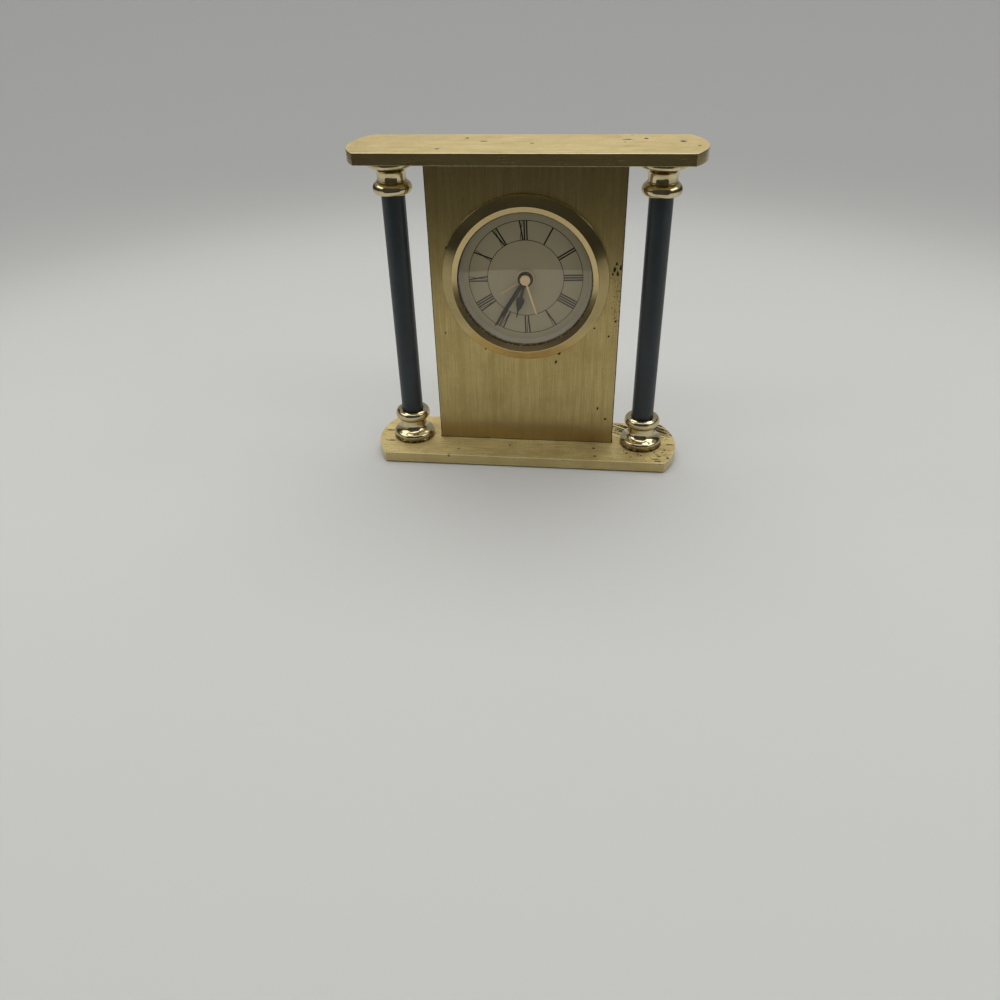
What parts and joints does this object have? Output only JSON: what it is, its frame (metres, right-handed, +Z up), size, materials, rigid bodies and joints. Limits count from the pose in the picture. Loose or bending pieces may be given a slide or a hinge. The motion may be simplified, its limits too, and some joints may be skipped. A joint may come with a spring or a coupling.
{
  "type": "desk alarm clock",
  "caption": "Desk alarm clock: an upright brass panel with a round dial stands between two bowed brass plates held apart by turned columns, with setting knobs and battery door behind.",
  "frame": {"origin": "middle of the felt's underside, on the surface that the clock stands on", "axes": "+Z up, +X along the plates to the right of someone reading the dial, -Y towards that reader"},
  "size_m": [0.1604, 0.0414, 0.1558],
  "materials": {
    "satin_brass": "brushed satin, lightly tarnished and pitted",
    "polished_brass": "polished",
    "dark_paint": "satin dark blue-green",
    "steel": "zinc plated",
    "felt": "felt",
    "lens_glass": "clear, flat",
    "ring_grey": "satin grey",
    "dial_silver": "fine satin, printed",
    "rubber": "soft",
    "hand_black": "satin black",
    "hand_gold": "satin pale gold",
    "black_plastic": "moulded, fine texture",
    "white_plastic": "moulded",
    "copper": "enamelled copper wire",
    "board_green": "solder mask",
    "cell_sleeve": "plain shrink sleeve"
  },
  "bodies": {
    "stand": {"base_plate": "satin_brass", "top_plate": "satin_brass", "dial_panel": "satin_brass", "felt_pad": "felt", "column_shaft_left": "dark_paint", "column_shaft_right": "dark_paint", "column_foot_left": "polished_brass", "column_foot_right": "polished_brass", "column_capital_left": "polished_brass", "column_capital_right": "polished_brass", "tie_rod_left": "steel", "tie_rod_right": "steel", "tie_nut_left": "steel", "tie_nut_right": "steel", "tie_washer_left": "steel", "tie_washer_right": "steel", "bezel": "polished_brass", "lens": "lens_glass", "dial_ring": "ring_grey", "dial": "dial_silver", "grip_ring": "rubber", "front_plate": "black_plastic", "movement_case": "black_plastic", "case_screw_1": "steel", "case_screw_2": "steel", "case_screw_3": "steel", "stator": "steel", "motor_coil": "copper", "circuit_board": "board_green", "control_chip": "black_plastic", "quartz_crystal": "steel", "buzzer": "satin_brass", "alarm_contact": "satin_brass", "battery": "cell_sleeve", "battery_contact_plus": "steel", "battery_contact_minus": "steel"},
    "second": {"second_wheel": "white_plastic", "second_hand": "hand_gold"},
    "rotor": {"rotor": "steel"},
    "intermediate": {"intermediate_wheel": "white_plastic"},
    "third": {"third_wheel": "white_plastic"},
    "minute": {"centre_wheel": "white_plastic", "minute_hand": "hand_black"},
    "reverse": {"reverse_wheel": "white_plastic"},
    "hour": {"hour_wheel": "white_plastic", "hour_hand": "hand_black"},
    "time_set": {"time_set_shaft": "white_plastic", "time_set_knob": "black_plastic"},
    "alarm_set": {"alarm_set_shaft": "white_plastic", "alarm_set_knob": "black_plastic"},
    "alarm": {"alarm_wheel": "white_plastic", "alarm_hand": "hand_gold"},
    "alarm_switch": {"alarm_switch": "white_plastic"},
    "battery_door": {"battery_door": "black_plastic"}
  },
  "joints": [
    {"name": "second_hand_turn", "type": "hinge", "parent": "stand", "child": "second", "pos_m": [0, -0.0016, 0.0942], "axis": [0, 1, 0], "continuous": true},
    {"name": "rotor_turn", "type": "hinge", "parent": "stand", "child": "rotor", "pos_m": [-0.01016, -0.0016, 0.10311], "axis": [0, 1, 0], "continuous": true},
    {"name": "intermediate_turn", "type": "hinge", "parent": "stand", "child": "intermediate", "pos_m": [-0.00752, -0.0016, 0.09854], "axis": [0, 1, 0], "continuous": true},
    {"name": "third_turn", "type": "hinge", "parent": "stand", "child": "third", "pos_m": [0.00294, -0.0016, 0.10228], "axis": [0, 1, 0], "continuous": true},
    {"name": "minute_hand_turn", "type": "hinge", "parent": "stand", "child": "minute", "pos_m": [0, -0.0016, 0.0942], "axis": [0, 1, 0], "continuous": true},
    {"name": "reverse_turn", "type": "hinge", "parent": "stand", "child": "reverse", "pos_m": [-0.00537, -0.0016, 0.09044], "axis": [0, 1, 0], "continuous": true},
    {"name": "hour_hand_turn", "type": "hinge", "parent": "stand", "child": "hour", "pos_m": [0, -0.0016, 0.0942], "axis": [0, 1, 0], "continuous": true},
    {"name": "time_set_turn", "type": "hinge", "parent": "stand", "child": "time_set", "pos_m": [-0.01183, -0.0016, 0.09158], "axis": [0, 1, 0], "continuous": true},
    {"name": "alarm_set_turn", "type": "hinge", "parent": "stand", "child": "alarm_set", "pos_m": [0.00924, -0.0016, 0.0942], "axis": [0, 1, 0], "continuous": true},
    {"name": "alarm_hand_turn", "type": "hinge", "parent": "stand", "child": "alarm", "pos_m": [0, -0.0016, 0.0942], "axis": [0, 1, 0], "continuous": true},
    {"name": "alarm_switch_slide", "type": "slide", "parent": "stand", "child": "alarm_switch", "axis": [1, 0, 0], "range_m": [0, 0.004]},
    {"name": "battery_door_slide", "type": "slide", "parent": "stand", "child": "battery_door", "axis": [0, 0, -1], "range_m": [0, 0.008]}
  ],
  "couplings": [
    {"joint": "rotor_turn", "follows": "second_hand_turn", "ratio": 30},
    {"joint": "intermediate_turn", "follows": "second_hand_turn", "ratio": -6},
    {"joint": "third_turn", "follows": "second_hand_turn", "ratio": -0.13333},
    {"joint": "minute_hand_turn", "follows": "second_hand_turn", "ratio": 0.016667},
    {"joint": "reverse_turn", "follows": "second_hand_turn", "ratio": -0.0055556},
    {"joint": "hour_hand_turn", "follows": "second_hand_turn", "ratio": 0.0013889},
    {"joint": "time_set_turn", "follows": "second_hand_turn", "ratio": 0.016667},
    {"joint": "alarm_hand_turn", "follows": "alarm_set_turn", "ratio": -0.75}
  ]
}
